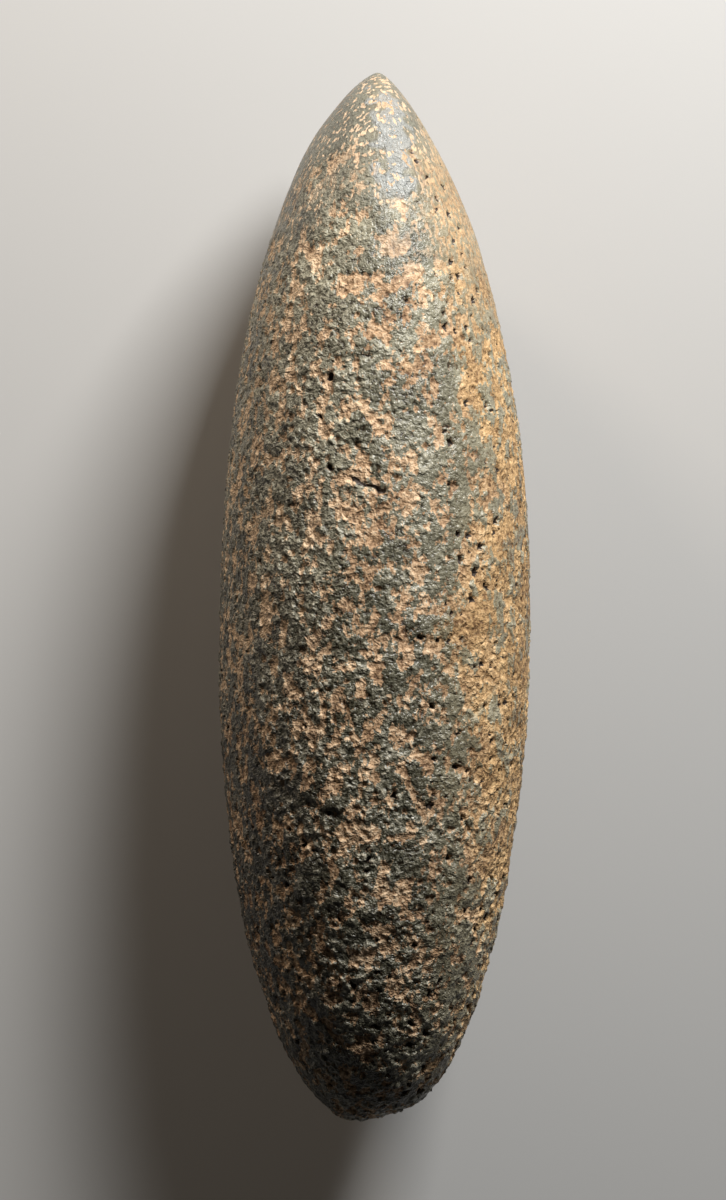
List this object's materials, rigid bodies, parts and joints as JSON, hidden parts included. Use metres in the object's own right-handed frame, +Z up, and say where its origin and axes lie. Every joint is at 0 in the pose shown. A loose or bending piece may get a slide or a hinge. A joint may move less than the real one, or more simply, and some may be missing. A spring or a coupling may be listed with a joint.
{
  "type": "polished stone axe",
  "caption": "Polished stone axe head: a thick pointed oval with a smooth curved cutting edge and a pecked, rounded butt, lying on one narrow side.",
  "frame": {"origin": "on the surface that the axe lies on, under the centre of its bounding box, in the plane of the small flat resting spot", "axes": "+Y along the length towards the cutting edge, +X across the thickness from face to face, +Z up, from one narrow side to the other"},
  "size_m": [0.0448, 0.15, 0.0533],
  "materials": {
    "stone": "dark green-grey stone, polished at the cutting edge and pecked elsewhere, with tan and ochre soil in the pits"
  },
  "bodies": {
    "root": {"axe_head": "stone"}
  },
  "joints": []
}
